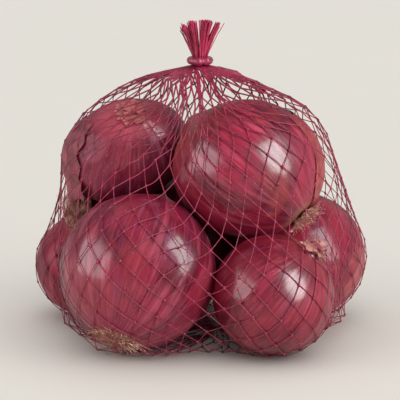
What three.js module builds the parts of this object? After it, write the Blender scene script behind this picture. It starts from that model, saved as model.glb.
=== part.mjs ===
// A net of seven red onions, gathered and tied at the top.
// The knotted net is pulled tight over the onions, so the skin of the bag shows every onion
// as a bulge, bridges the gaps between them and rises as a tent to the tied neck.
// Millimetres, Z up, front toward -Y, origin on the floor under the middle of the bag.
import * as THREE from 'three';

// the seven onions: centre and half sizes (across, deep, tall), with the long direction
const onionOvals = [
  { centre: [-29.8, -32.3, 38.9], half: [38.3, 38.2, 38.0] },
  { centre: [35.5, -42.0, 30.2], half: [29.9, 29.6, 29.3] },
  { centre: [-57.3, 23.2, 27.8], half: [26.8, 27.2, 26.9] },
  { centre: [51.5, 17.8, 33.7], half: [33.4, 33.1, 32.8] },
  { centre: [-37.1, 20.0, 88.0], half: [33.4, 29.5, 25.6], long: [1, 0, 0.37] },
  { centre: [24.0, -12.7, 85.7], half: [37.4, 35.6, 33.9] },
  { centre: [-6.0, 40.3, 34.7], half: [30.1, 31.5, 33.7] },
];
const lowerOnions = [0, 1, 2, 3, 6];
const upperOnions = [4, 5];

// spare net stands off the onions here: the tent under the tie with its collar and shoulders,
// the waists between the upper and the lower onions, and the hems along the floor
const tentOval = { centre: [0.3, 4.8, 78.5], half: [74, 33, 53.5], long: [0.88, -0.47, 0.03] };
const collarOval = { centre: [1.6, 3.8, 123], half: [26.3, 18, 9.4] };
const rightShoulderOval = { centre: [29.4, -11, 86], half: [36.6, 30, 38.2] };
const leftShoulderOval = { centre: [-33, 18, 87.5], half: [33.2, 28, 31.5] };
const rightWaistOval = { centre: [63, 0.8, 61], half: [8, 14, 12.5] };
const leftWaistOval = { centre: [-62.2, 16.8, 61], half: [9, 14, 16] };
const skirtOval = { centre: [1.3, -6.2, 12.4], half: [73, 48, 12.2] };
const frontHemOval = { centre: [5, -35, 9.4], half: [45, 15, 9.4] };
const leftFoldOval = { centre: [-21, -38, 8], half: [21, 18, 8] };
const rightFoldOval = { centre: [28, -38, 8], half: [24, 17, 8] };
const leftHemOval = { centre: [-52, -9, 11.4], half: [16.8, 22, 11] };
const rootBulgeOval = { centre: [-40, -39, 13.5], half: [18, 16, 13] };
const slackOvals = [
  tentOval,
  collarOval,
  rightShoulderOval,
  leftShoulderOval,
  rightWaistOval,
  leftWaistOval,
  skirtOval,
  frontHemOval,
  leftFoldOval,
  rightFoldOval,
  leftHemOval,
  rootBulgeOval,
];

// the knotted net
const columns = 42;
const halfRows = 28;
const strandLength = 8.8;
const strandSpread = 0.04;
const spreadPerEnd = [12.9898, 4.1414];
const netTwist = -0.06;
const knotLift = 0.6;
const floorLift = 0.35;
const onionGrip = 0.3;
const slackGrip = 0.9;
const settleSteps = 500;
const settleRate = 0.35;
const settleDrag = 0.9;
const outlineSteps = 720;
const outlineGrow = 3;

// neck, gathered bottom, tuft and tie band
const neckPlace = [0.3, 3.8, 134.5];
const neckRadius = 2.9;
const bottomPlace = [8.3, -2.2, 2.5];
const bottomRadius = 2.0;
const bottomHollow = 1.5;
const contactReach = 10;
const dimpleDepth = 1.8;
const dimpleShare = 0.4;
const dimpleStep = 0.25;
const bandCentreHeight = 136.7;
const bandRadius = 4.9;
const bandHalfWide = 1.7;
const bandHalfTall = 1.75;
const bandSectionsAround = 48;
const bandSides = 14;
const bandLapAngle = 0.3;
const bandLobe = { swell: 0.16, away: 0.42, spread: 0.05 };
const bandPinch = { swell: -0.14, spread: 0.02 };
const tuftStart = 138.6;
const tuftStartRadius = 4.2;
const tuftShares = [0.12, 0.3, 0.55, 0.8, 1];
const tuftFlatness = 0.2;
const tuftFirstRise = 0.8;
const crownRise = 9;

// levels of the loose net before it is pulled tight: share of the way down, outline,
// size of the outline, height
const looseLevels = [
  [0.00, 'neck', 1.00, 134.5],
  [0.10, 'upper', 0.45, 128],
  [0.24, 'upper', 0.95, 109],
  [0.36, 'upper', 1.02, 88],
  [0.50, 'lower', 0.99, 62],
  [0.62, 'lower', 1.00, 35],
  [0.74, 'lower', 0.90, 6],
  [0.88, 'lower', 0.45, 1],
  [1.00, 'bottom', 1.00, 2.5],
];

// least distance between neighbouring knots of a row, by the share of the way down
const knotSpacing = [
  [0, 0.3], [0.07, 1.5], [0.14, 4], [0.24, 7.2], [0.34, 8.6],
  [0.5, 9], [0.65, 8.6], [0.8, 6], [0.9, 3], [1, 0.2],
];

// bundles of cut net ends above the tie: direction from the front (degrees), reach, height
const tuftBundles = [
  [-86, 9.2, 16.2],
  [-42, 5.6, 18.4],
  [14, 5.4, 18.9],
  [82, 9.4, 17.2],
  [146, 5.8, 17.6],
  [-142, 6.0, 16.6],
];
const bundleSharpness = 16;
const notchReach = 0.28;
const notchDrop = 5;

const up = new THREE.Vector3(0, 0, 1);

function makeOval({ centre, half, long = [1, 0, 0] }) {
  const across = new THREE.Vector3(...long).normalize();
  const deep = new THREE.Vector3().crossVectors(up, across).normalize();
  const tall = new THREE.Vector3().crossVectors(across, deep);
  return { centre: new THREE.Vector3(...centre), half, axes: [across, deep, tall] };
}

const onions = onionOvals.map(makeOval);
const slack = slackOvals.map(makeOval);
const tent = makeOval(tentOval);

function interpolate(table, x) {
  let k = 1;
  while (k < table.length - 1 && x > table[k][0]) k += 1;
  const share = (x - table[k - 1][0]) / (table[k][0] - table[k - 1][0]);
  return table[k - 1][1] * (1 - share) + table[k][1] * share;
}

// how deep a point sits in an oval grown by a margin: below 1 it is inside
function depthIn(oval, point, margin) {
  const away = point.clone().sub(oval.centre);
  const parts = oval.axes.map((axis, k) => away.dot(axis) / (oval.half[k] + margin));
  return Math.hypot(...parts);
}

function farthestPoint(oval, direction) {
  const parts = oval.axes.map((axis, k) => axis.dot(direction) * oval.half[k]);
  const size = Math.hypot(...parts);
  const point = oval.centre.clone();
  oval.axes.forEach((axis, k) => point.addScaledVector(axis, (oval.half[k] * parts[k]) / size));
  return point;
}

// outline round a set of ovals seen from above, grown a little, with its running length
function outlineRound(ovals) {
  const points = [];
  for (let k = 0; k < outlineSteps; k += 1) {
    const angle = (2 * Math.PI * k) / outlineSteps;
    const direction = new THREE.Vector3(Math.sin(angle), -Math.cos(angle), 0);
    let best = null;
    for (const oval of ovals) {
      const point = farthestPoint(oval, direction);
      if (!best || point.dot(direction) > best.dot(direction)) best = point;
    }
    points.push(best.addScaledVector(direction, outlineGrow));
  }
  points.push(points[0].clone());
  const lengths = [0];
  for (let k = 1; k < points.length; k += 1) {
    const dx = points[k].x - points[k - 1].x;
    const dy = points[k].y - points[k - 1].y;
    lengths.push(lengths[k - 1] + Math.hypot(dx, dy));
  }
  return { points, lengths };
}

function pointAlong({ points, lengths }, turn) {
  const total = lengths[lengths.length - 1];
  const target = (((turn % 1) + 1) % 1) * total;
  let k = 1;
  while (lengths[k] < target) k += 1;
  const share = (target - lengths[k - 1]) / Math.max(lengths[k] - lengths[k - 1], 1e-9);
  return points[k - 1].clone().lerp(points[k], share);
}

function looseNet() {
  const outlines = {
    upper: outlineRound([...upperOnions.map((k) => onions[k]), tent]),
    lower: outlineRound(lowerOnions.map((k) => onions[k])),
  };
  const centres = { upper: neckPlace, lower: bottomPlace };
  const levelPoint = ([share, kind, size, height], turn) => {
    const twisted = turn + netTwist * share;
    const angle = 2 * Math.PI * twisted;
    if (kind === 'neck' || kind === 'bottom') {
      const [cx, cy] = kind === 'neck' ? neckPlace : bottomPlace;
      const radius = kind === 'neck' ? neckRadius : bottomRadius;
      return new THREE.Vector3(cx + radius * Math.sin(angle), cy - radius * Math.cos(angle), height);
    }
    const on = pointAlong(outlines[kind], twisted);
    const [cx, cy] = centres[kind];
    return new THREE.Vector3(cx + (on.x - cx) * size, cy + (on.y - cy) * size, height);
  };
  const knots = [];
  for (let j = 0; j <= halfRows; j += 1) {
    const share = j / halfRows;
    let k = 0;
    while (k < looseLevels.length - 2 && share > looseLevels[k + 1][0]) k += 1;
    const [above, below] = [looseLevels[k], looseLevels[k + 1]];
    const mix = (share - above[0]) / (below[0] - above[0]);
    for (let i = 0; i < columns; i += 1) {
      const turn = (i + j / 2) / columns;
      knots.push(levelPoint(above, turn).lerp(levelPoint(below, turn), mix));
    }
  }
  return knots;
}

const knotIndex = (j, i) => j * columns + ((i % columns) + columns) % columns;

// pull the net tight: strands shorten, neighbours keep apart, nothing enters an onion or the floor
function tightNet() {
  const knots = looseNet();
  const strands = [];
  const spacers = [];
  for (let j = 0; j < halfRows; j += 1) {
    for (let i = 0; i < columns; i += 1) {
      for (const side of [0, 1]) {
        const from = knotIndex(j, i);
        const to = knotIndex(j + 1, i - side);
        const wobble = Math.sin(spreadPerEnd[0] * from + spreadPerEnd[1] * to);
        strands.push([from, to, strandLength * (1 + strandSpread * wobble)]);
      }
      if (j > 0) spacers.push([knotIndex(j, i), knotIndex(j, i + 1), interpolate(knotSpacing, j / halfRows)]);
    }
  }
  const holders = [
    ...onions.map((oval) => ({ oval, margin: knotLift, grip: onionGrip })),
    ...slack.map((oval) => ({ oval, margin: 0, grip: slackGrip })),
  ];
  const drift = knots.map(() => new THREE.Vector3());
  const pull = knots.map(() => new THREE.Vector3());
  const link = new THREE.Vector3();
  const keepOut = (point) => {
    let grip = 1;
    for (const holder of holders) {
      const depth = depthIn(holder.oval, point, holder.margin);
      if (depth < 1) {
        point.sub(holder.oval.centre).divideScalar(depth).add(holder.oval.centre);
        grip = Math.min(grip, holder.grip);
      }
    }
    if (point.z < floorLift) {
      point.z = floorLift;
      grip = Math.min(grip, onionGrip);
    }
    return grip;
  };
  for (let step = 0; step < settleSteps; step += 1) {
    pull.forEach((vector) => vector.set(0, 0, 0));
    for (const [a, b, rest] of strands) {
      link.subVectors(knots[b], knots[a]);
      link.multiplyScalar(Math.max(1 - rest / link.length(), 0) / 2);
      pull[a].add(link);
      pull[b].sub(link);
    }
    for (const [a, b, rest] of spacers) {
      link.subVectors(knots[b], knots[a]);
      link.multiplyScalar(Math.min(1 - rest / link.length(), 0) / 2);
      pull[a].add(link);
      pull[b].sub(link);
    }
    for (let k = columns; k < knots.length - columns; k += 1) {
      drift[k].multiplyScalar(settleDrag).addScaledVector(pull[k], settleRate / 2);
      const next = knots[k].clone().add(drift[k]);
      const grip = keepOut(next);
      if (grip < 1) {
        next.sub(knots[k]).multiplyScalar(grip).add(knots[k]);
        keepOut(next);
      }
      drift[k].subVectors(next, knots[k]);
      knots[k].copy(next);
    }
  }
  return knots;
}

// middle of a net cell: it lies on the onion behind it, or dips a little into a gap
function cellMiddle(top, left, right, bottom) {
  const middle = top.clone().add(left).add(right).add(bottom).divideScalar(4);
  const across = right.clone().sub(left);
  const inward = across.cross(top.clone().sub(bottom)).normalize().negate();
  const size = Math.min(right.distanceTo(left), top.distanceTo(bottom));
  const deepest = Math.min(dimpleDepth, size * dimpleShare);
  for (let depth = 0; depth < deepest; depth += dimpleStep) {
    const inside = onions.find((oval) => depthIn(oval, middle, dimpleStep) < 1);
    if (inside) {
      const share = depthIn(inside, middle, dimpleStep);
      return middle.sub(inside.centre).divideScalar(share).add(inside.centre);
    }
    middle.addScaledVector(inward, dimpleStep);
  }
  return middle;
}

// reach and height of the cut ends in one direction: bundles with notches between them
function tuftShape(angle) {
  let reach = 0;
  let height = 0;
  let weight = 0;
  let nearest = 0;
  for (const [degrees, bundleReach, bundleHeight] of tuftBundles) {
    const closeness = (1 + Math.cos(angle - THREE.MathUtils.degToRad(degrees))) / 2;
    const share = closeness ** bundleSharpness;
    reach += share * bundleReach;
    height += share * bundleHeight;
    weight += share;
    nearest = Math.max(nearest, share);
  }
  const notch = 1 - nearest;
  return { reach: (reach / weight) * (1 - notchReach * notch), height: height / weight - notchDrop * notch };
}

function makeBagGeometry() {
  const knots = tightNet();
  const points = knots.map((knot) => knot.clone());
  const faces = [];
  for (let i = 0; i < columns; i += 1) {
    faces.push([knotIndex(0, i), knotIndex(1, i), knotIndex(0, i + 1)]);
    faces.push([knotIndex(halfRows - 1, i), knotIndex(halfRows, i - 1), knotIndex(halfRows, i)]);
  }
  for (let j = 0; j + 2 <= halfRows; j += 1) {
    for (let i = 0; i < columns; i += 1) {
      const corners = [knotIndex(j, i), knotIndex(j + 1, i - 1), knotIndex(j + 1, i), knotIndex(j + 2, i - 1)];
      const [top, left, right, bottom] = corners;
      const middle = points.length;
      points.push(cellMiddle(...corners.map((k) => knots[k])));
      faces.push([top, left, middle], [left, bottom, middle], [bottom, right, middle], [right, top, middle]);
    }
  }
  // the weight of each lower onion presses a small flat spot onto the floor
  for (const point of points) {
    for (const k of lowerOnions) {
      const { x, y, z } = onions[k].centre;
      const reach = Math.hypot(point.x - x, point.y - y);
      if (point.z < z / 2 && reach < contactReach) point.z = 0;
    }
  }

  // closed bottom
  const bottomMiddle = points.length;
  points.push(new THREE.Vector3(bottomPlace[0], bottomPlace[1], bottomPlace[2] + bottomHollow));
  for (let i = 0; i < columns; i += 1) {
    faces.push([knotIndex(halfRows, i + 1), knotIndex(halfRows, i), bottomMiddle]);
  }

  // neck through the tie, then the tuft of cut ends
  const ringOf = (pointAt) => {
    const start = points.length;
    for (let i = 0; i < columns; i += 1) points.push(pointAt((2 * Math.PI * i) / columns));
    return Array.from({ length: columns }, (_, i) => start + i);
  };
  const neckRing = (level) => ringOf((angle) => new THREE.Vector3(
    neckPlace[0] + neckRadius * Math.sin(angle),
    neckPlace[1] - neckRadius * Math.cos(angle),
    level,
  ));
  const tuftRing = (share) => ringOf((angle) => {
    const { reach, height } = tuftShape(angle);
    const radius = tuftStartRadius + (reach - tuftStartRadius) * share;
    return new THREE.Vector3(
      neckPlace[0] + radius * Math.sin(angle),
      neckPlace[1] - radius * Math.cos(angle) * (1 - tuftFlatness * share),
      tuftStart + tuftFirstRise + (height - tuftFirstRise) * share,
    );
  });
  const firstRing = Array.from({ length: columns }, (_, i) => knotIndex(0, i));
  const rings = [firstRing, neckRing(bandCentreHeight), neckRing(tuftStart), ...tuftShares.map(tuftRing)];
  for (let row = 1; row < rings.length; row += 1) {
    const [below, here] = [rings[row - 1], rings[row]];
    for (let i = 0; i < columns; i += 1) {
      const next = (i + 1) % columns;
      faces.push([below[i], below[next], here[next]], [below[i], here[next], here[i]]);
    }
  }
  const topRing = rings[rings.length - 1];
  const crown = points.length;
  points.push(new THREE.Vector3(neckPlace[0], neckPlace[1], tuftStart + crownRise));
  for (let i = 0; i < columns; i += 1) faces.push([topRing[i], topRing[(i + 1) % columns], crown]);
  return surface(points, faces);
}

function surface(points, faces) {
  const geometry = new THREE.BufferGeometry();
  const positions = new Float32Array(points.length * 3);
  points.forEach((point, k) => point.toArray(positions, 3 * k));
  geometry.setAttribute('position', new THREE.BufferAttribute(positions, 3));
  geometry.setIndex(faces.flat());
  geometry.computeVertexNormals();
  return geometry;
}

// fat cord wound round the neck, thicker in two lobes where it laps over at the front
function makeBandGeometry() {
  const points = [];
  const faces = [];
  for (let i = 0; i < bandSectionsAround; i += 1) {
    const angle = (2 * Math.PI * i) / bandSectionsAround;
    const fromLap = Math.atan2(Math.sin(angle - bandLapAngle), Math.cos(angle - bandLapAngle));
    const fromLobe = Math.abs(fromLap) - bandLobe.away;
    const lobe = bandLobe.swell * Math.exp(-(fromLobe ** 2) / bandLobe.spread);
    const pinch = bandPinch.swell * Math.exp(-(fromLap ** 2) / bandPinch.spread);
    const size = 1 + lobe + pinch;
    for (let k = 0; k < bandSides; k += 1) {
      const turn = (2 * Math.PI * k) / bandSides;
      const inner = bandRadius - bandHalfWide;
      const radius = inner + bandHalfWide * (1 + Math.cos(turn)) * size;
      const height = bandCentreHeight + bandHalfTall * Math.sin(turn) * size;
      points.push(new THREE.Vector3(
        neckPlace[0] + radius * Math.sin(angle),
        neckPlace[1] - radius * Math.cos(angle),
        height,
      ));
    }
  }
  for (let i = 0; i < bandSectionsAround; i += 1) {
    const next = (i + 1) % bandSectionsAround;
    for (let k = 0; k < bandSides; k += 1) {
      const above = (k + 1) % bandSides;
      const [a, b] = [i * bandSides + k, next * bandSides + k];
      const [c, d] = [next * bandSides + above, i * bandSides + above];
      faces.push([a, b, c], [a, c, d]);
    }
  }
  return surface(points, faces);
}

const netMaterial = new THREE.MeshStandardMaterial({ color: 0x8a2c45, roughness: 0.42, metalness: 0 });
const bandMaterial = new THREE.MeshStandardMaterial({ color: 0x9c2347, roughness: 0.35, metalness: 0 });

const bag = new THREE.Mesh(makeBagGeometry(), netMaterial);
bag.name = 'net_of_onions';
const band = new THREE.Mesh(makeBandGeometry(), bandMaterial);
band.name = 'tie_band';

const netOfOnions = new THREE.Group();
netOfOnions.name = 'net_of_red_onions';
netOfOnions.add(bag, band);

export default netOfOnions;
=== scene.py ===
import math
import random

import bmesh
import bpy
import numpy as np
from mathutils import Matrix, Vector, noise


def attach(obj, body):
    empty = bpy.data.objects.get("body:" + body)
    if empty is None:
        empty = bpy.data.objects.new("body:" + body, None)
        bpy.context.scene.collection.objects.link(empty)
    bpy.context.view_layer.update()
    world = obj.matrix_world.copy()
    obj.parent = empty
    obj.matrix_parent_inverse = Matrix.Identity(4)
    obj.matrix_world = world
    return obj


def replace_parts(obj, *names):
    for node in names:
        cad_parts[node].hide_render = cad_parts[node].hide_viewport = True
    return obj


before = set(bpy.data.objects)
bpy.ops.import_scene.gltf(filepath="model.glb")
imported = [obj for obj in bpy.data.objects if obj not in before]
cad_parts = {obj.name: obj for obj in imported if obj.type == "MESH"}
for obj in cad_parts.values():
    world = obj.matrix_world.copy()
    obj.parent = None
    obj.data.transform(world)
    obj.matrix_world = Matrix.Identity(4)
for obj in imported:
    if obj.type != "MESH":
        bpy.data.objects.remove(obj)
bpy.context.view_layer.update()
print("frame loaded")

# Every size below is in millimetres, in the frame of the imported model, unless it says otherwise.
millimetre = 0.001

# camera: in front of the net, looking a little down on it
camera = {
    "target": (0.3, 2.8, 66.4),
    "distance": 900,
    "elevation": 13,
    "lens": 162,
    "sensor": 36,
    "nearest": 10,
}
cameraObject = bpy.data.objects.new("camera", bpy.data.cameras.new("camera"))
bpy.context.collection.objects.link(cameraObject)
cameraTilt = math.radians(camera["elevation"])
cameraBack = Vector((0, -math.cos(cameraTilt), math.sin(cameraTilt)))
cameraObject.location = (Vector(camera["target"]) + cameraBack * camera["distance"]) * millimetre
cameraObject.rotation_euler = (math.radians(90 - camera["elevation"]), 0, 0)
cameraObject.data.lens = camera["lens"]
cameraObject.data.sensor_width = camera["sensor"]
cameraObject.data.clip_start = camera["nearest"] * millimetre
bpy.context.scene.camera = cameraObject
bpy.context.scene.view_settings.view_transform = "Standard"


def paint(red, green, blue):
    # a colour as a screen shows it, turned into what a shader takes
    shares = [level / 255 for level in (red, green, blue)]
    return (*[s / 12.92 if s <= 0.04045 else ((s + 0.055) / 1.055) ** 2.4 for s in shares], 1.0)


class Wire:
    # a socket in a material; sums on it add Math nodes
    def __init__(self, tree, socket=None):
        self.tree = tree
        self.socket = socket

    def feed(self, target, inputs):
        for name, value in inputs.items():
            if isinstance(value, Wire):
                self.tree.links.new(value.socket, target.inputs[name])
            else:
                target.inputs[name].default_value = value

    def node(self, kind, settings, inputs, output=0):
        made = self.tree.nodes.new("ShaderNode" + kind)
        for name, value in settings.items():
            setattr(made, name, value)
        self.feed(made, inputs)
        return Wire(self.tree, made.outputs[output])

    def maths(self, operation, *values):
        return self.node("Math", {"operation": operation}, dict(enumerate(values)))

    def __add__(self, other):
        return self.maths("ADD", self, other)

    def __radd__(self, other):
        return self.maths("ADD", other, self)

    def __sub__(self, other):
        return self.maths("SUBTRACT", self, other)

    def __rsub__(self, other):
        return self.maths("SUBTRACT", other, self)

    def __mul__(self, other):
        return self.maths("MULTIPLY", self, other)

    def __rmul__(self, other):
        return self.maths("MULTIPLY", other, self)

    def between(self, low, high):
        # 0 below low, 1 above high, smooth in between
        return self.node(
            "MapRange",
            {"interpolation_type": "SMOOTHSTEP"},
            {"Value": self, "From Min": low, "From Max": high},
        )

    def tinted(self, below, above):
        # one colour where this is 0, the other where it is 1
        return self.node("Mix", {"data_type": "RGBA"}, {0: self, 6: below, 7: above}, 2)

    def vector(self, operation, *values):
        return self.node("VectorMath", {"operation": operation}, dict(enumerate(values)))

    def clouds(self, place, scale, detail=2.0, roughness=0.5):
        return self.node(
            "TexNoise",
            {},
            {"Vector": place, "Scale": scale, "Detail": detail, "Roughness": roughness},
        )

    def bump(self, height, depth):
        # height from 0 to 1 stands for a depth in millimetres
        return self.node("Bump", {}, {"Height": height, "Distance": depth * millimetre})


def newFinish(name):
    finish = bpy.data.materials.new(name)
    finish.use_nodes = True
    return finish, Wire(finish.node_tree)


def setShader(finish, inputs):
    Wire(finish.node_tree).feed(finish.node_tree.nodes["Principled BSDF"], inputs)


def addPiece(name, mesh, finish):
    piece = bpy.data.objects.new(name, mesh)
    bpy.context.collection.objects.link(piece)
    piece.data.materials.append(finish)
    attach(piece, "root")
    return piece


def meshFrom(bm, name, smooth=True):
    mesh = bpy.data.meshes.new(name)
    for face in bm.faces:
        face.smooth = smooth
    bm.to_mesh(mesh)
    bm.free()
    return mesh


def threadCurve(name, paths, radius, sides=6):
    # paths: lists of (point, share of the radius)
    curve = bpy.data.curves.new(name, "CURVE")
    curve.dimensions = "3D"
    curve.bevel_depth = radius * millimetre
    curve.bevel_resolution = (sides - 4) // 2
    curve.use_fill_caps = True
    for path in paths:
        spline = curve.splines.new("POLY")
        spline.points.add(len(path) - 1)
        for point, (place, share) in zip(spline.points, path):
            point.co = (*[c * millimetre for c in place], 1)
            point.radius = share
    return curve


# the seven onions: centre, half sizes (across, deep, tall), the way the neck points,
# and where a neck stands out more than most, how far and how wide in shares of the half size
onions = {
    "front_left": {
        "centre": (-29.8, -32.3, 38.9), "half": (38.3, 38.2, 38.0), "neck": (0.28, 0.57, 0.77),
    },
    "front_right": {
        "centre": (35.5, -42.0, 30.2), "half": (29.9, 29.6, 29.3), "neck": (0.60, -0.22, 0.77),
        "neckRise": 0.16, "neckWidth": 0.13,
    },
    "back_left": {
        "centre": (-57.3, 23.2, 27.8), "half": (26.8, 27.2, 26.9), "neck": (0.13, 0.30, -0.94),
    },
    "back_right": {
        "centre": (51.5, 17.8, 33.7), "half": (33.4, 33.1, 32.8), "neck": (-0.45, 0.75, 0.48),
    },
    "top_left": {
        "centre": (-37.1, 20.0, 88.0), "half": (33.4, 29.5, 25.6), "long": (1, 0, 0.37),
        "neck": (0.05, -0.50, 0.86),
    },
    "top_right": {
        "centre": (24.0, -12.7, 85.7), "half": (37.4, 35.6, 33.9), "neck": (-0.71, 0.36, 0.62),
    },
    "back_middle": {
        "centre": (-6.0, 40.3, 36.2), "half": (30.1, 31.5, 35.2), "neck": (0.2, 0.5, 0.84),
    },
}
lowerOnions = ["front_left", "front_right", "back_left", "back_right", "back_middle"]
upperOnions = ["top_left", "top_right"]

# where spare net stands off the onions
slackPlaces = {
    "tent": {"centre": (0.3, 4.8, 78.5), "half": (74, 33, 53.5), "long": (0.88, -0.47, 0.03)},
    "collar": {"centre": (1.6, 3.8, 123), "half": (26.3, 18, 9.4)},
    "right_shoulder": {"centre": (29.4, -11, 86), "half": (36.6, 30, 38.2)},
    "left_shoulder": {"centre": (-33, 18, 87.5), "half": (33.2, 28, 31.5)},
    "right_waist": {"centre": (60, 0.8, 61), "half": (8, 14, 12.5)},
    "left_waist": {"centre": (-62.2, 16.8, 61), "half": (9, 14, 16)},
    "skirt": {"centre": (1.3, -6.2, 12.4), "half": (73, 48, 12.2)},
    "front_hem": {"centre": (5, -35, 9.4), "half": (45, 15, 9.4)},
    "left_fold": {"centre": (-21, -38, 8), "half": (21, 18, 8)},
    "right_fold": {"centre": (28, -38, 8), "half": (24, 17, 8)},
    "left_hem": {"centre": (-52, -9, 11.4), "half": (16.8, 22, 11)},
    "root_bulge": {"centre": (-40, -39, 13.5), "half": (18, 16, 13)},
}


class Oval:
    def __init__(self, values):
        across = np.array(values.get("long", (1, 0, 0)), float)
        across /= np.linalg.norm(across)
        deep = np.cross((0, 0, 1), across)
        deep /= np.linalg.norm(deep)
        self.axes = np.array([across, deep, np.cross(across, deep)])
        self.centre = np.array(values["centre"], float)
        self.half = np.array(values["half"], float)

    def depths(self, points, margin):
        # below 1 for a point inside the oval grown by the margin
        return np.linalg.norm((points - self.centre) @ self.axes.T / (self.half + margin), axis=1)

    def pushOut(self, points, margin):
        depths = self.depths(points, margin)
        inside = depths < 1
        away = points[inside] - self.centre
        points[inside] = self.centre + away / np.maximum(depths[inside], 1e-6)[:, None]
        return inside

    def farthest(self, direction):
        parts = self.axes @ direction * self.half
        return self.centre + (self.half * parts / np.linalg.norm(parts)) @ self.axes


onionOvals = {name: Oval(values) for name, values in onions.items()}
slackOvals = {name: Oval(values) for name, values in slackPlaces.items()}

net = {
    "columns": 42,
    "halfRows": 28,
    "strand": 8.8,
    "strandSpread": 0.04,
    "wobble": (12.9898, 4.1414),
    "twist": 0.16,
    # where round the net the columns spread apart, how much, and how far down it has faded out
    "widest": (0.9, 0.33, 0.6),
    "lift": 0.6,
    "floorLift": 0.35,
    "grip": 0.3,
    "slackGrip": 0.9,
    "steps": 500,
    "rate": 0.35,
    "drag": 0.9,
    "neck": (0.3, 3.8, 134.5),
    "neckRadius": 2.9,
    "roofSlope": 0.2,
    "bottom": (8.3, -2.2, 2.5),
    "bottomRadius": 2.0,
    # levels of the loose net: share of the way down, outline, its size, height
    "levels": [
        (0.00, "neck", 1.00, 134.5), (0.10, "upper", 0.45, 128), (0.24, "upper", 0.95, 109),
        (0.36, "upper", 1.02, 88), (0.50, "lower", 0.99, 62), (0.62, "lower", 1.00, 35),
        (0.74, "lower", 0.90, 6), (0.88, "lower", 0.45, 1), (1.00, "bottom", 1.00, 2.5),
    ],
    # least distance between neighbours of a row, by the share of the way down
    "spacing": (
        (0, 0.07, 0.14, 0.24, 0.34, 0.5, 0.65, 0.8, 0.9, 1),
        (0.3, 1.5, 4, 7.2, 8.6, 9, 8.6, 6, 3, 0.2),
    ),
}
columns, halfRows = net["columns"], net["halfRows"]
neckPlace = np.array(net["neck"])


def outlineRound(ovals, grow=3, steps=720):
    # outline round some ovals seen from above, with its running length
    points = []
    for k in range(steps):
        angle = 2 * math.pi * k / steps
        direction = np.array((math.sin(angle), -math.cos(angle), 0))
        best = max((oval.farthest(direction) for oval in ovals), key=lambda p: p @ direction)
        points.append((best + direction * grow)[:2])
    points = np.array([*points, points[0]])
    lengths = np.concatenate([[0], np.cumsum(np.linalg.norm(np.diff(points, axis=0), axis=1))])
    return points, lengths


def looseNet():
    outlines = {
        "upper": outlineRound([onionOvals[name] for name in upperOnions] + [slackOvals["tent"]]),
        "lower": outlineRound([onionOvals[name] for name in lowerOnions]),
    }
    centres = {"upper": neckPlace[:2], "lower": np.array(net["bottom"][:2])}

    def onLevel(level, turns):
        share, kind, size, height = level
        turned = turns + net["twist"] * share
        if kind in outlines:
            points, lengths = outlines[kind]
            along = np.mod(turned, 1) * lengths[-1]
            flat = np.stack([np.interp(along, lengths, points[:, k]) for k in (0, 1)], 1)
            flat = centres[kind] + (flat - centres[kind]) * size
        else:
            angles = 2 * math.pi * turned
            radius = net[kind + "Radius"]
            ring = np.stack([np.sin(angles), -np.cos(angles)], 1) * radius
            flat = np.array(net[kind][:2]) + ring
        return np.column_stack([flat, np.full(len(flat), height)])

    rows = []
    shares = [level[0] for level in net["levels"]]
    for j in range(halfRows + 1):
        share = j / halfRows
        k = min(max(np.searchsorted(shares, share) - 1, 0), len(shares) - 2)
        mix = (share - shares[k]) / (shares[k + 1] - shares[k])
        turns = (np.arange(columns) + j / 2) / columns
        place, wider, fadedOut = net["widest"]
        wider *= max(1 - share / fadedOut, 0)
        turns += wider * np.sin(2 * math.pi * (turns - place)) / (2 * math.pi)
        above, below = onLevel(net["levels"][k], turns), onLevel(net["levels"][k + 1], turns)
        rows.append(above * (1 - mix) + below * mix)
    return np.concatenate(rows)


def knotIndex(j, i):
    return j * columns + i % columns


def tightNet():
    # strands pull, neighbours keep apart, nothing enters an onion or the floor
    knots = looseNet()
    strands = np.array([
        (knotIndex(j, i), knotIndex(j + 1, i - side))
        for j in range(halfRows) for i in range(columns) for side in (0, 1)
    ])
    spacers = np.array([
        (knotIndex(j, i), knotIndex(j, i + 1)) for j in range(1, halfRows) for i in range(columns)
    ])
    first, second = net["wobble"]
    wobble = np.sin(first * strands[:, 0] + second * strands[:, 1])
    strandRests = net["strand"] * (1 + net["strandSpread"] * wobble)
    spacerRests = np.interp(spacers[:, 0] // columns / halfRows, *net["spacing"])
    holders = [(oval, net["lift"], net["grip"]) for oval in onionOvals.values()]
    holders += [(oval, 0, net["slackGrip"]) for oval in slackOvals.values()]

    def keepOut(points):
        grips = np.ones(len(points))
        for oval, margin, grip in holders:
            inside = oval.pushOut(points, margin)
            grips[inside] = np.minimum(grips[inside], grip)
        reach = np.linalg.norm(points[:, :2] - neckPlace[:2], axis=1) - net["neckRadius"]
        points[:, 2] = np.minimum(points[:, 2], neckPlace[2] - reach * net["roofSlope"])
        low = points[:, 2] < net["floorLift"]
        points[low, 2] = net["floorLift"]
        grips[low] = np.minimum(grips[low], net["grip"])
        return grips

    def addPull(pull, ends, rests, limit):
        link = knots[ends[:, 1]] - knots[ends[:, 0]]
        share = limit(1 - rests / np.linalg.norm(link, axis=1), 0) / 2
        np.add.at(pull, ends[:, 0], link * share[:, None])
        np.add.at(pull, ends[:, 1], -link * share[:, None])

    drift = np.zeros_like(knots)
    free = slice(columns, len(knots) - columns)
    for step in range(net["steps"]):
        pull = np.zeros_like(knots)
        addPull(pull, strands, strandRests, np.maximum)
        addPull(pull, spacers, spacerRests, np.minimum)
        drift[free] = drift[free] * net["drag"] + pull[free] * net["rate"] / 2
        moved = knots[free] + drift[free]
        grips = keepOut(moved)
        moved = knots[free] + (moved - knots[free]) * grips[:, None]
        keepOut(moved)
        drift[free] = moved - knots[free]
        knots[free] = moved
    return knots


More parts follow.
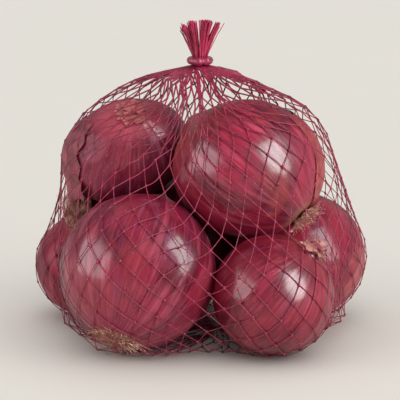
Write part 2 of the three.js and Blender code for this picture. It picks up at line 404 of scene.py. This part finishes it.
knots = tightNet()
print("net settled")


# threads: each runs from the neck to the gathered bottom, down to the left or to the right
threads = {
    "radius": 0.21,
    "spans": 4,
    "clear": 0.45,
    "sag": 0.175,
    "mostSag": 0.65,
    "swing": 0.6,
    "knotHalf": (0.68, 0.5, 1.15),
    # threads that run together at the tie: how much thicker, and over how many half rows
    "together": (1.2, 5.2),
    # folds under the tie: how many round it and how strongly they gather the columns
    "folds": ((1, 0.79, 0.5), (2, 1.58, 0.3), (9, 0.85, 0.4)),
    "foldRows": 7,
    "foldFade": 4,
}


def gathered(knots):
    # columns slide together into folds in the upper rows
    rows = knots.reshape(halfRows + 1, columns, 3)
    folded = rows.copy()
    for j in range(threads["foldRows"]):
        spots = np.arange(columns) + j / 2
        slide = 0
        for count, phase, share in threads["folds"]:
            turns = 2 * math.pi * count
            slide = slide - share * columns / turns * np.sin(turns * spots / columns + phase)
        slide *= min(1, (threads["foldRows"] - j) / threads["foldFade"])
        places = np.arange(columns) + slide
        low = np.floor(places).astype(int)
        mix = (places - low)[:, None]
        folded[j] = rows[j][low % columns] * (1 - mix) + rows[j][(low + 1) % columns] * mix
    return folded.reshape(-1, 3)


knots = gathered(knots)


def layThread(stops, seed):
    # points along a thread from knot to knot, with the spare length of slack strands let out
    draws = random.Random(seed)
    swing = threads["swing"]
    points = []
    for a, b in zip(stops[:-1], stops[1:]):
        length = np.linalg.norm(b - a)
        spare = max(net["strand"] ** 2 - length ** 2, 0) ** 0.5
        sag = min(spare * threads["sag"], threads["mostSag"])
        side = np.array([draws.uniform(-swing, swing), draws.uniform(-swing, swing), -1]) * sag
        for k in range(threads["spans"]):
            share = k / threads["spans"]
            points.append(a + (b - a) * share + side * math.sin(math.pi * share))
    points.append(stops[-1])
    points = np.array(points)
    for oval in onionOvals.values():
        oval.pushOut(points, threads["clear"])
    points[:, 2] = np.maximum(points[:, 2], threads["radius"])
    return points


def netThreads(lean):
    thicker, reach = threads["together"]
    paths = []
    for i in range(columns):
        stops = [knots[knotIndex(j, i - j * lean)] for j in range(halfRows + 1)]
        points = layThread(stops, 100 * lean + i)
        rows = np.arange(len(points)) / threads["spans"]
        paths.append(list(zip(points, 1 + thicker * np.exp(-(rows / reach) ** 2))))
    return paths


def netFinish(name, dark, mid, light):
    finish, start = newFinish(name)
    place = start.node("TexCoord", {}, {}, 3)
    patches = start.clouds(place, 140, 3)
    fibres = start.clouds(place, 1600, 2)
    colour = patches.between(0.38, 0.6).tinted(dark, mid)
    colour = (fibres.between(0.5, 0.75) * 0.6).tinted(colour, light)
    setShader(finish, {
        "Base Color": colour,
        "Roughness": 0.4,
        "Normal": start.bump(fibres, 0.12),
    })
    return finish


threadFinish = netFinish("net_thread", paint(108, 8, 40), paint(138, 18, 56), paint(192, 92, 118))
for lean, name in enumerate(("net_threads_right", "net_threads_left")):
    curve = threadCurve(name, netThreads(lean), threads["radius"])
    piece = addPiece(name, curve, threadFinish)
    if lean == 0:
        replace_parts(piece, "net_of_onions")


def knotMesh():
    # a small bead on every crossing, longer along the threads
    bm = bmesh.new()
    size = Matrix.Diagonal((*threads["knotHalf"], 1))
    for j in range(1, halfRows):
        for i in range(columns):
            here = knots[knotIndex(j, i)]
            above = knots[knotIndex(j - 1, i)] + knots[knotIndex(j - 1, i + 1)]
            low, lower = knots[knotIndex(j + 1, i)], knots[knotIndex(j + 1, i - 1)]
            along = Vector(above - low - lower).normalized()
            across = Vector(knots[knotIndex(j, i + 1)] - knots[knotIndex(j, i - 1)]).normalized()
            out = across.cross(along).normalized()
            across = along.cross(out)
            turn = Matrix((across, out, along)).transposed().to_4x4()
            place = Matrix.Translation(here) @ turn @ size
            bmesh.ops.create_icosphere(bm, subdivisions=1, radius=1, matrix=place)
    bmesh.ops.scale(bm, vec=(millimetre,) * 3, verts=bm.verts)
    return meshFrom(bm, "net_knots")


addPiece("net_knots", knotMesh(), threadFinish)
print("threads laid")


# onion skins: crimson with dark veins and pale fibres that run from root to neck,
# under a dry outer layer that has flaked off in places
def skinFinish(name, look):
    finish, start = newFinish("skin_" + name)
    grain = start.node("Attribute", {"attribute_name": "grain"}, {}, 1)
    place = start.node("TexCoord", {}, {}, 3)
    level = start.node("SeparateXYZ", {}, {0: grain}, 2)
    around = start.vector("NORMALIZE", start.vector("MULTIPLY", grain, (1, 1, 0)))

    def streaks(count, along, detail=2.0):
        # noise stretched from pole to pole
        height = start.node("CombineXYZ", {}, {2: level * along + look["seed"]})
        spread = start.vector("MULTIPLY", around, (count, count, 0))
        return start.clouds(start.vector("ADD", spread, height), 1.0, detail)

    def lines(source, width):
        # thin lines where a noise crosses its middle value
        return source.maths("ABSOLUTE", source - 0.5).between(width, 0)

    wide = streaks(1.6, 1.5)
    bands = streaks(look["bands"], 1.1, 5.0)
    fibres = streaks(34, 2.2, 3.0)
    veins = lines(streaks(11, 0.5, 2.0), 0.012)
    blotches = start.clouds(place, 55, 5.0)
    flecks = start.clouds(place, 900, 2.0)
    outer = start.clouds(place, look["flakeScale"], 4.0).between(0.525, 0.54) * look["dryness"]
    # one over the other: where the layer is, how strong it is there, its colour
    layers = [
        (bands.between(0.5, 0.64), look["paleness"], "pale"),
        (bands.between(0.46, 0.34), 0.6, "mauve"),
        (outer, 0.7 + blotches * 0.3, "dry"),
        (fibres.between(0.52, 0.7), 0.25, "pale"),
        (fibres.between(0.47, 0.32), 0.35, "deep"),
        (veins, 0.45, "deep"),
        (blotches.between(0.55, 0.68), 0.3, "dry"),
        (flecks.between(0.66, 0.74), 0.45, "pale"),
        (level.between(*look["neckShade"]), 0.7, "neck"),
        (level.between(*look["rootShade"]), 0.8, "root"),
    ]
    colour = wide.between(0.38, 0.6).tinted(look["deep"], look["red"])
    for where, strength, shade in layers:
        colour = (where * strength).tinted(colour, look[shade])
    relief = bands * 0.5 + fibres * 0.3 + blotches * 0.3 + outer * 0.5 - veins * 0.25
    rim = start.node("LayerWeight", {}, {"Blend": 0.5}, 1)
    setShader(finish, {
        "Base Color": colour,
        "Roughness": 0.36 + outer * 0.1 + fibres.between(0.4, 0.7) * 0.12,
        "Specular IOR Level": 0.14,
        "Coat Weight": rim.between(0.96, 0.6) * look["gloss"],
        "Coat Roughness": 0.17,
        "Coat IOR": 1.45,
        "Normal": start.bump(relief, 0.4),
    })
    return finish


# colours and amounts that all skins share, and what each onion has of its own, except that the
# middle onion at the back has dark colours and little gloss as painted shade;
# shades run along the onion's own height, from -1 at the root to 1 at the neck
skinLook = {
    "deep": paint(92, 8, 32), "red": paint(148, 24, 54), "pale": paint(190, 84, 108),
    "mauve": paint(122, 38, 66), "dry": paint(154, 54, 60), "neck": paint(156, 66, 66),
    "root": paint(160, 104, 84), "paleness": 0.45, "dryness": 0.35, "flakeScale": 26,
    "neckShade": (0.86, 0.97), "rootShade": (-0.93, -0.985), "bands": 7, "gloss": 0.8,
}
skinLooks = {
    "front_left": {
        "red": paint(134, 20, 52), "mauve": paint(122, 46, 82), "seed": 2.3, "flakeScale": 21,
    },
    "front_right": {
        "red": paint(122, 8, 36), "deep": paint(90, 4, 26), "dry": paint(134, 32, 46),
        "pale": paint(180, 62, 88), "neck": paint(136, 44, 56), "paleness": 0.3,
        "dryness": 0.2, "seed": 8.9,
    },
    "back_left": {
        "red": paint(152, 32, 56), "deep": paint(104, 12, 36), "gloss": 0.3, "seed": 15.1,
    },
    "back_right": {
        "red": paint(142, 26, 50), "dry": paint(164, 62, 60), "root": paint(142, 56, 60),
        "dryness": 0.5, "seed": 23.4,
    },
    "top_left": {
        "red": paint(134, 40, 66), "mauve": paint(114, 56, 90), "pale": paint(184, 100, 132),
        "paleness": 0.5, "gloss": 0.5, "seed": 31.6, "flakeScale": 17, "bands": 9,
        "neck": paint(210, 88, 106), "neckShade": (0.7, 0.98),
    },
    "top_right": {
        "mauve": paint(126, 36, 62), "paleness": 0.36, "bands": 9,
        "dry": paint(172, 66, 56), "dryness": 0.5, "flakeScale": 15, "seed": 40.2,
        "neck": paint(170, 74, 68), "neckShade": (0.45, 0.9),
    },
    # dark colours and little gloss: painted shade, so this onion reads as the shade in the gaps
    # between the onions in front of it
    "back_middle": {
        "red": paint(104, 18, 40), "deep": paint(64, 8, 24), "pale": paint(130, 56, 74),
        "mauve": paint(76, 26, 44), "dry": paint(104, 42, 44), "gloss": 0.1, "seed": 47.7,
    },
}


# unevenness of the skins, in shares of the half size
unevenness = {
    "size": 0.990,
    # strength, how often round the onion, how often along it, how soon it is full off the pole
    "ridges": (0.007, 3.5, 0.5, 2),
    "creases": (0.003, 9, 0.7, 1.5),
    # strength, how often
    "lumps": (0.012, 1.7),
    # height and width of the shoulder round the neck and of the hollow at the root
    "shoulder": (0.015, 0.4),
    "hollow": (-0.05, 0.12),
    "seed": (3.1, 7.7),
}


def neckShape(values):
    # how far the neck stands up and how wide it is, as shares of the half size
    return values.get("neckRise", 0.09), values.get("neckWidth", 0.17)


def mound(shape, flat):
    # a round rise or hollow at a pole
    height, width = shape
    return height * math.exp(-(flat / width) ** 2)


def grooves(own, flat, shape, shift):
    # noise drawn out from pole to pole, which fades out towards the poles
    strength, count, along, fullness = shape
    around = Vector((own.x, own.y, 0)) / max(flat, 1e-6)
    wave = noise.noise(around * count + Vector((0, 0, own.z * along)) + shift)
    return strength * (wave * min(flat * fullness, 1))


def onionMesh(name, values):
    oval = onionOvals[name]
    turn = Vector(values["neck"]).normalized().to_track_quat("Z", "Y").to_matrix()
    seed = Vector((skinLooks[name]["seed"], *unevenness["seed"]))
    lumpiness, lumpCount = unevenness["lumps"]
    bm = bmesh.new()
    bmesh.ops.create_uvsphere(bm, u_segments=128, v_segments=80, radius=1)
    grain = bm.verts.layers.float_vector.new("grain")
    for vert in bm.verts:
        own = vert.co.normalized()
        vert[grain] = own
        flat = math.hypot(own.x, own.y)
        ridge = grooves(own, flat, unevenness["ridges"], seed)
        lump = lumpiness * noise.noise(own * lumpCount + seed * 2)
        crease = grooves(own, flat, unevenness["creases"], -seed)
        if own.z > 0:
            pole = mound(neckShape(values), flat) + mound(unevenness["shoulder"], flat)
        else:
            pole = mound(unevenness["hollow"], flat)
        size = unevenness["size"] + ridge + lump + crease + pole
        way = np.array(turn @ own)
        place = oval.centre + (oval.axes @ way * oval.half * size) @ oval.axes
        vert.co = Vector(place) * millimetre
    return meshFrom(bm, name)


for name, values in onions.items():
    look = {**skinLook, **skinLooks[name]}
    addPiece("onion_" + name, onionMesh(name, values), skinFinish(name, look))
print("onions made")


def poleOf(name, end):
    # the pole of an onion (1 neck, -1 root), the way out there and two ways along the skin
    oval = onionOvals[name]
    out = np.array(onions[name]["neck"], float) * end
    out /= np.linalg.norm(out)
    place = oval.centre + (oval.axes @ out * oval.half) @ oval.axes
    side = np.cross(out, (0.13, 0.2, 0.97))  # any way that no neck points in
    side /= np.linalg.norm(side)
    return place, out, side, np.cross(out, side)


# root fibres: dry hairs on the root ends, and a few at one neck; spot is how far they spread,
# flat is 0 for hairs that stand up and 1 for hairs that lie down, bend is how much they bow
brushes = {
    "root_front_left": {
        "on": "front_left", "end": -1, "count": 190, "spot": 12.5, "length": 6.5,
        "flat": 0.8, "bend": 0.6,
    },
    "root_top_right": {
        "on": "top_right", "end": -1, "count": 130, "spot": 5.5, "length": 8.0,
        "flat": 0.6, "bend": 0.6,
    },
    "root_back_left": {
        "on": "back_left", "end": -1, "count": 460, "spot": 6.8, "length": 18.0,
        "flat": 0.08, "bend": 0.22,
    },
    "neck_front_right": {
        "on": "front_right", "end": 1, "count": 70, "spot": 3.4, "length": 6.0,
        "flat": 0.5, "bend": 0.6,
    },
}
hair = {
    "radius": 0.16, "sides": 4, "steps": 5, "rooted": 0.4, "taper": 0.6, "clear": 0.2, "seed": 70,
}


def brushPaths(values, seed):
    draws = random.Random(seed)
    place, out, side, other = poleOf(values["on"], values["end"])
    oval = onionOvals[values["on"]]
    paths = []
    for k in range(values["count"]):
        angle, far = draws.uniform(0, 2 * math.pi), values["spot"] * draws.random() ** 0.6
        spread = side * math.cos(angle) + other * math.sin(angle)
        start = place + spread * far
        start = oval.centre + (start - oval.centre) / oval.depths(start[None], 0)[0]
        lean = draws.uniform(0, 2 * math.pi)
        bend = (side * math.cos(lean) + other * math.sin(lean)) * draws.uniform(0.2, 0.9)
        way = out * (1 - values["flat"]) + spread * values["flat"] * draws.uniform(0.3, 1.2)
        way = way / np.linalg.norm(way)
        length = values["length"] * draws.uniform(0.35, 1)
        points, widths = [], []
        for n in range(hair["steps"] + 1):
            t = n / hair["steps"]
            bow = bend * length * t * t * values["bend"]
            point = start - out * hair["rooted"] + way * length * t + bow
            point = point + side * math.sin(t * 5 + lean) * 0.35
            point = point + other * math.sin(t * 7 + lean) * 0.5
            points.append(point)
            widths.append(1 - hair["taper"] * t)
        points = np.array(points)
        oval.pushOut(points, hair["clear"])
        points[:, 2] = np.maximum(points[:, 2], hair["clear"])
        paths.append(list(zip(points, widths)))
    return paths


def strawFinish():
    finish, start = newFinish("dry_straw")
    place = start.node("TexCoord", {}, {}, 3)
    patches = start.clouds(place, 260, 2)
    colour = patches.between(0.42, 0.66).tinted(paint(154, 88, 78), paint(232, 198, 172))
    setShader(finish, {"Base Color": colour, "Roughness": 0.7, "Normal": start.bump(patches, 0.1)})
    return finish


strawPaths = []
for number, values in enumerate(brushes.values()):
    strawPaths += brushPaths(values, hair["seed"] + number)
strawCurve = threadCurve("root_fibres", strawPaths, hair["radius"], hair["sides"])
addPiece("root_fibres", strawCurve, strawFinish())


# papery flaps round necks and roots: way along the skin in degrees, then start and end
# from the pole, width, and lift of the tip
flapSets = {
    "neck_cap_top_left": {
        "on": "top_left", "end": 1, "flaps": [
            (88, -3, 10.5, 13, 0.7), (55, -3, 9.5, 12, 0.8), (118, -3, 10, 12, 0.7),
            (20, -2, 9, 12, 0.9), (150, -2, 8, 11, 0.7), (185, -2, 7, 10, 0.8),
            (345, -2, 9, 12, 0.8), (270, -2, 7, 11, 0.9), (228, -2, 7, 11, 0.9),
            (310, -2, 8, 12, 0.9), (75, 0, 6.5, 6, 1.8), (130, 0, 6, 6, 2.0),
            (20, 0, 5.5, 6, 2.0), (290, 0, 5, 5, 2.2),
        ],
        "dark": paint(150, 62, 66), "light": paint(194, 112, 108),
    },
    "neck_star_front_right": {
        "on": "front_right", "end": 1, "flaps": [
            (10, 0, 7, 6, 2.2), (60, 0, 6, 5.6, 2.6), (110, 0, 7, 6, 2.4), (160, 0, 6, 6, 1.8),
            (215, 0, 8, 7, 1.4), (265, 0, 7, 7, 1.4), (320, 0, 7.5, 6, 1.8), (240, 0, 5, 4.4, 3.4),
            (80, 0, 4.6, 4.2, 4.2), (170, 0, 4, 4, 4.6),
        ],
        "dark": paint(130, 50, 62), "light": paint(180, 122, 114),
    },
    "root_skin_top_right": {
        "on": "top_right", "end": -1, "flaps": [
            (150, 3, 15, 9, 1.2), (185, 3, 16, 10, 1.4), (225, 3, 14, 9, 1.6), (110, 3, 13, 8, 1.3),
            (265, 3, 11, 7, 1.8), (70, 3, 10, 7, 2.0),
        ],
        "dark": paint(150, 62, 66), "light": paint(204, 142, 130),
    },
}


def flapMesh(name, values):
    draws = random.Random(len(name))
    place, out, side, other = poleOf(values["on"], values["end"])
    oval = onionOvals[values["on"]]
    half = oval.half.mean()
    neck = neckShape(onions[values["on"]])
    bm = bmesh.new()
    along = bm.verts.layers.float.new("along")
    for degrees, near, far, width, lift in values["flaps"]:
        angle = math.radians(degrees + draws.uniform(-6, 6))
        ahead = side * math.cos(angle) + other * math.sin(angle)
        across = np.cross(out, ahead)
        shift = Vector((draws.uniform(0, 50), draws.uniform(0, 50), 0))
        made = bmesh.ops.create_grid(bm, x_segments=8, y_segments=10, size=0.5)["verts"]
        for vert in made:
            share, aside = vert.co.y + 0.5, vert.co.x * 2
            ragged = noise.noise(Vector((aside * 2.3, share * 2, 0)) + shift)
            # the tip is ragged and rounded, the sides are widest past the middle
            reach = (far - near) * share * (1 + 0.28 * ragged * share)
            reach = near + reach * (1 - 0.25 * aside ** 2 * share)
            outline = 0.6 + 0.7 * share - 0.7 * share ** 3
            spread = width / 2 * aside * outline * (1 + 0.25 * ragged)
            point = place + ahead * reach + across * spread
            depth = oval.depths(point[None], 0)[0]
            point = oval.centre + (point - oval.centre) / depth
            outward = (point - oval.centre) / np.linalg.norm(point - oval.centre)
            curl = lift * share ** 2 + 0.5 * ragged + 0.6 * aside ** 2 * share + 0.5
            bump = half * mound(neck, math.hypot(reach, spread) / half) if values["end"] > 0 else 0
            point = point + outward * (max(curl, 0.15) + bump)
            vert[along] = share
            vert.co = Vector(point) * millimetre
    bmesh.ops.recalc_face_normals(bm, faces=bm.faces)
    return meshFrom(bm, name)


def paperFinish(name, dark, light):
    finish, start = newFinish("paper_" + name)
    place = start.node("TexCoord", {}, {}, 3)
    along = start.node("Attribute", {"attribute_name": "along"}, {}, 2)
    patches = start.clouds(place, 210, 4)
    creases = start.clouds(place, 700, 2)
    colour = (patches + along * 0.15).between(0.4, 0.7).tinted(dark, light)
    colour = (creases.between(0.55, 0.72) * 0.5).tinted(colour, light)
    setShader(finish, {
        "Base Color": colour,
        "Roughness": 0.55,
        "Normal": start.bump(patches + creases, 0.25),
    })
    return finish


for name, values in flapSets.items():
    finish = paperFinish(name, values["dark"], values["light"])
    addPiece(name, flapMesh(name, values), finish)


# loose dry skin: round the left of the upper left onion, from its front to the back, where it
# hangs down as a sheet behind the gap under that onion that stands in for the shade there, and over
# the right of the upper right one (around: degrees from the left, up: degrees from level, hang: how
# far its edge
# hangs down, puff: how far it and its edges stand off)
looseSkins = {
    # real loose skin on the onion; its part that hangs down at the back is a darker sheet that
    # stands in for the shade in the gap below
    "loose_skin_top_left": {
        "on": "top_left", "around": (44, -120), "up": (38, -22), "hang": (8, 26, 34),
        "puff": (0.5, 0.35), "seed": 4.4,
        "dark": paint(108, 42, 54), "light": paint(148, 68, 78),
    },
    "loose_skin_top_right": {
        "on": "top_right", "around": (152, 250), "up": (52, -40), "hang": (0, 0, 0),
        "puff": (0.02, 0), "seed": 9.7,
        "dark": paint(136, 48, 54), "light": paint(162, 74, 74),
    },
}
onOnion, hangingShare = 0.72, 0.28  # shares of the skin's way down


def looseSkinMesh(name, values):
    oval = onionOvals[values["on"]]
    bm = bmesh.new()
    along = bm.verts.layers.float.new("along")
    bmesh.ops.create_grid(bm, x_segments=64, y_segments=40, size=0.5)
    front, back = values["around"]
    top, low = values["up"]
    loose, edgeLift = values["puff"]
    for vert in bm.verts:
        share, down = vert.co.x + 0.5, 0.5 - vert.co.y
        ragged = noise.noise(Vector((share * 9, down * 2, values["seed"])))
        wavy = noise.noise(Vector((values["seed"] / 2, down * 6, 1)))
        azimuth = math.radians(front + (back - front) * share + 6 * wavy)
        turned = min(down / onOnion, 1)
        lift = math.radians(top + (low - top) * turned)
        flat = math.cos(lift)
        way = np.array((-math.cos(azimuth) * flat, -math.sin(azimuth) * flat, math.sin(lift)))
        point = oval.centre + way / oval.depths((oval.centre + way)[None], 0)[0]
        billow = 1 + 0.7 * noise.noise(Vector((share * 5, down * 5, 9)))
        puff = loose * billow + edgeLift * abs(1 - 2 * share) ** 6
        puff *= min(down * 5, 1)
        point = point + way * puff
        hanging = max(down - onOnion, 0) / hangingShare
        hang = np.interp(share, (0.1, 0.35, 0.6), values["hang"])
        point[2] -= hanging * hang * (1 + 0.4 * ragged)
        point[:2] -= way[:2] * hanging * hang * 0.17
        vert[along] = down
        vert.co = Vector(point) * millimetre
    bmesh.ops.recalc_face_normals(bm, faces=bm.faces)
    return meshFrom(bm, name)


for name, values in looseSkins.items():
    finish = paperFinish(name, values["dark"], values["light"])
    addPiece(name, looseSkinMesh(name, values), finish)
print("roots, necks and loose skin made")


# tie band: a fat cord wound round the neck, lapped a little to the right of the front
band = {
    "height": 136.7, "radius": 4.9, "halfWide": 1.7, "halfTall": 1.75, "lap": 0.3,
    # on either side of the lap a swelling (height, how far away, spread), on it a pinch
    "lobes": (0.16, 0.42, 0.05), "pinch": (0.14, 0.02),
    "sides": 16, "steps": 72,
}


def bandMesh():
    bm = bmesh.new()
    centre = (0, 0, 0)
    upright = Matrix.Rotation(math.radians(90), 3, "X")
    section = bmesh.ops.create_circle(bm, segments=band["sides"], radius=1)["verts"]
    bmesh.ops.rotate(bm, verts=section, cent=centre, matrix=upright)
    for vert in section:
        across = vert.co.x * band["halfWide"] + band["radius"]
        vert.co = Vector((across, 0, vert.co.z * band["halfTall"]))
    bmesh.ops.spin(
        bm, geom=[*section, *bm.edges], cent=centre, axis=(0, 0, 1), angle=2 * math.pi,
        steps=band["steps"], use_merge=True,
    )
    inner = band["radius"] - band["halfWide"]
    swelling, away, spread = band["lobes"]
    pinching, pinchSpread = band["pinch"]
    for vert in bm.verts:
        angle = math.atan2(vert.co.x, -vert.co.y)
        fromLap = math.atan2(math.sin(angle - band["lap"]), math.cos(angle - band["lap"]))
        lobe = swelling * math.exp(-((abs(fromLap) - away) ** 2) / spread)
        pinch = pinching * math.exp(-(fromLap ** 2) / pinchSpread)
        size = 1 + lobe - pinch
        flat = math.hypot(vert.co.x, vert.co.y)
        wider = (inner + (flat - inner) * size) / flat
        vert.co = Vector((
            neckPlace[0] + vert.co.x * wider, neckPlace[1] + vert.co.y * wider,
            band["height"] + vert.co.z * size,
        )) * millimetre
    bmesh.ops.recalc_face_normals(bm, faces=bm.faces)
    return meshFrom(bm, "tie_band_cord")


def bandFinish():
    finish, start = newFinish("band_satin")
    place = start.node("TexCoord", {}, {}, 3)
    # the lighter patches are painted sheen on the satin; the same noise also bumps it
    sheen = start.clouds(place, 420, 3)
    colour = sheen.between(0.35, 0.7).tinted(paint(124, 20, 52), paint(154, 44, 76))
    setShader(finish, {
        "Base Color": colour,
        "Roughness": 0.32,
        "Coat Weight": 0.3,
        "Normal": start.bump(sheen, 0.08),
    })
    return finish


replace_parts(addPiece("tie_band_cord", bandMesh(), bandFinish()), "tie_band")

# tuft: the cut ends of the threads, in seven bundles (degrees from the front, reach, height)
tuft = {
    "bundles": [
        (-84, 8.2, 16.2), (-42, 5.8, 18.4), (14, 5.4, 18.9), (80, 8.8, 17.2), (146, 5.8, 17.6),
        (-142, 6.0, 16.6), (46, 6.4, 18.2),
    ],
    "count": 300,
    "steps": 8,
    "scatter": 10,
    "root": 133,
    "start": 138.6,
    "seed": 5,
}


def tuftPaths():
    draws = random.Random(tuft["seed"])
    paths = []
    for k in range(tuft["count"]):
        degrees, reach, height = tuft["bundles"][k % len(tuft["bundles"])]
        angle = math.radians(degrees + draws.gauss(0, tuft["scatter"]))
        way = np.array((math.sin(angle), -math.cos(angle), 0))
        inner = draws.uniform(0.3, 2.7)
        side = np.array((draws.gauss(0, 0.8), draws.gauss(0, 0.8), 0))
        top = height - abs(draws.gauss(0, 1.2))
        path = []
        for n in range(tuft["steps"] + 1):
            share = n / tuft["steps"]
            out = inner + (reach - inner) * share ** 1.4 * draws.uniform(0.97, 1.03)
            base = neckPlace + way * out + side * share
            base[2] = tuft["root"] + (tuft["start"] + top - tuft["root"]) * share
            path.append((base, 1))
        paths.append(path)
    return paths


# the tuft's threads are the net's thread in lighter colours: painted light that makes up for the
# shade the bundled ends cast on each other
paintedLightTuftFinish = netFinish("tuft_thread", paint(150, 24, 64), paint(184, 44, 84), paint(216, 104, 132))
tuftCurve = threadCurve("tuft_threads", tuftPaths(), threads["radius"])
addPiece("tuft_threads", tuftCurve, paintedLightTuftFinish)
print("tie and tuft made")


# floor and studio light
def floorFinish():
    finish, start = newFinish("floor_paper")
    place = start.node("TexCoord", {}, {}, 3)
    mottle = start.clouds(place, 6, 3)
    colour = mottle.tinted(paint(220, 216, 208), paint(224, 220, 212))
    setShader(finish, {"Base Color": colour, "Roughness": 0.8})
    return finish


floorHalf = 6000
bm = bmesh.new()
bmesh.ops.create_grid(bm, x_segments=1, y_segments=1, size=floorHalf * millimetre)
floor = bpy.data.objects.new("floor", meshFrom(bm, "floor", False))
bpy.context.collection.objects.link(floor)
floor.data.materials.append(floorFinish())

# softboxes light the onions and the net, and soft suns light the floor alone;
# without diffuse a softbox only adds a highlight, without gloss it adds none
lampDistance = 4000
keyFrom, keySize = (0.61, -0.603, 0.499), (2290, 4250)
shapes = [piece for piece in bpy.context.scene.objects if piece.type in ("MESH", "CURVE")]
notFloor = [piece.name for piece in shapes if piece is not floor]
leftOnions = ["onion_front_left", "onion_top_left"]
keyOff = [*leftOnions, "onion_back_middle"]
lights = {
    "key": {
        "from": keyFrom, "size": keySize, "watts": 225,
        "on": [name for name in notFloor if name not in keyOff],
    },
    "key_left": {
        "from": keyFrom, "size": keySize, "watts": 178, "gloss": False, "on": leftOnions,
    },
    "shine_right": {
        "from": keyFrom, "size": (1800, 3400), "watts": 560, "diffuse": False,
        "on": ["onion_top_right", "onion_front_right"],
    },
    "shine_front_left": {
        "from": (0.909, -0.159, 0.385), "size": (2290, 3600), "watts": 260, "diffuse": False,
        "on": ["onion_front_left"],
    },
    "shine_top_left": {
        "from": (0.637, -0.265, 0.724), "size": (1600, 2600), "watts": 420, "diffuse": False,
        "on": ["onion_top_left"],
    },
    "fill": {"from": (-0.93, -0.27, 0.30), "size": (4300, 3600), "watts": 100, "on": notFloor},
    "shine_left": {
        "from": (-0.93, -0.25, 0.2), "size": (3800, 3600), "watts": 105, "diffuse": False,
        "on": ["onion_top_right", "onion_front_right", "onion_front_left"],
    },
    "above": {"from": (0.40, 0.12, 0.90), "spread": 60, "strength": 0.15, "on": ["floor"]},
    "even": {"from": (0.05, 0, 1), "spread": 80, "strength": 1.05, "on": ["floor"]},
    "low_right": {"from": (0.75, -0.45, 0.48), "spread": 50, "strength": 0.85, "on": ["floor"]},
    "low_left": {"from": (-0.8, -0.35, 0.48), "spread": 50, "strength": 0.7, "on": ["floor"]},
    "low_front": {"from": (0.1, -0.8, 0.6), "spread": 50, "strength": 0.55, "on": ["floor"]},
}
for name, values in lights.items():
    light = bpy.data.lights.new(name, "SUN" if "spread" in values else "AREA")
    if "spread" in values:
        light.angle = math.radians(values["spread"])
        light.energy = values["strength"]
    else:
        light.shape = "RECTANGLE"
        light.size, light.size_y = [side * millimetre for side in values["size"]]
        light.energy = values["watts"]
    lamp = bpy.data.objects.new(name, light)
    bpy.context.collection.objects.link(lamp)
    lit = bpy.data.collections.new("lit_by_" + name)
    for piece in shapes:
        if piece.name in values["on"]:
            lit.objects.link(piece)
    lamp.light_linking.receiver_collection = lit
    lamp.visible_diffuse = values.get("diffuse", True)
    lamp.visible_glossy = values.get("gloss", True)
    way = Vector(values["from"]).normalized()
    lamp.location = (Vector(camera["target"]) + way * lampDistance) * millimetre
    lamp.rotation_euler = way.to_track_quat("Z", "Y").to_euler()

surroundings = {"Color": paint(240, 240, 240), "Strength": 0.4}
world = bpy.data.worlds.new("studio")
bpy.context.scene.world = world
world.use_nodes = True
Wire(world.node_tree).feed(world.node_tree.nodes["Background"], surroundings)
print("stage lit")
